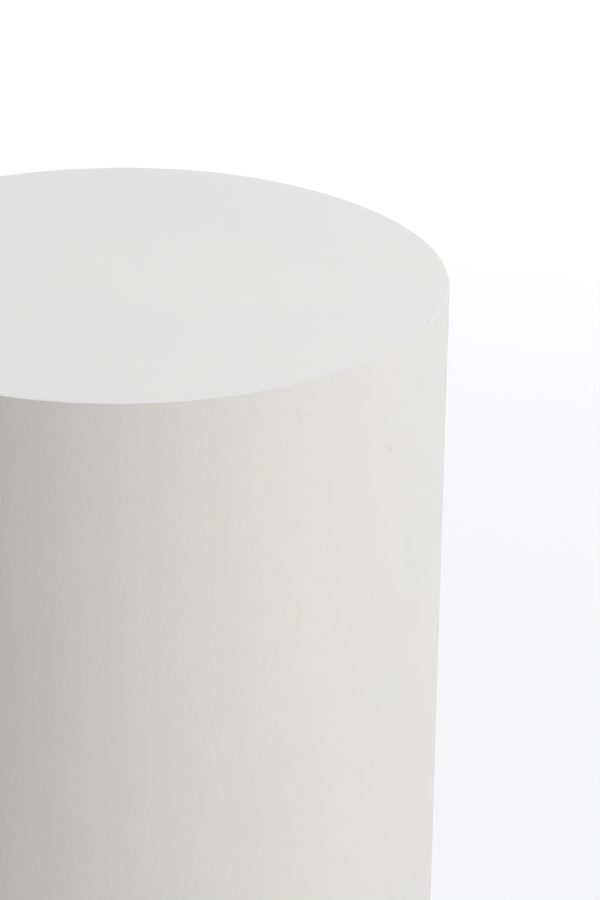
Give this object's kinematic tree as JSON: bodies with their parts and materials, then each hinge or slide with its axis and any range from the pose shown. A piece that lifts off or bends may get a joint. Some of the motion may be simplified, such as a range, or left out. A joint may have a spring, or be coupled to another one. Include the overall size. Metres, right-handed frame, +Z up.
{
  "type": "decorative pillar",
  "caption": "Plain round decorative pillar in matte off-white cast mineral, with straight sides, a crisp top edge and a flat top for displaying things.",
  "frame": {"origin": "centre of the underside, on the surface that the pillar stands on", "axes": "+Z up along the pillar's own axis, from the foot to the top; +X and +Y are alike, because the pillar is round"},
  "size_m": [0.3, 0.3, 0.75],
  "materials": {
    "cast_mineral": "matte, chalky off-white cast mineral with a fine sandy grain and scattered air pinholes"
  },
  "bodies": {
    "root": {"pillar": "cast_mineral"}
  },
  "joints": []
}
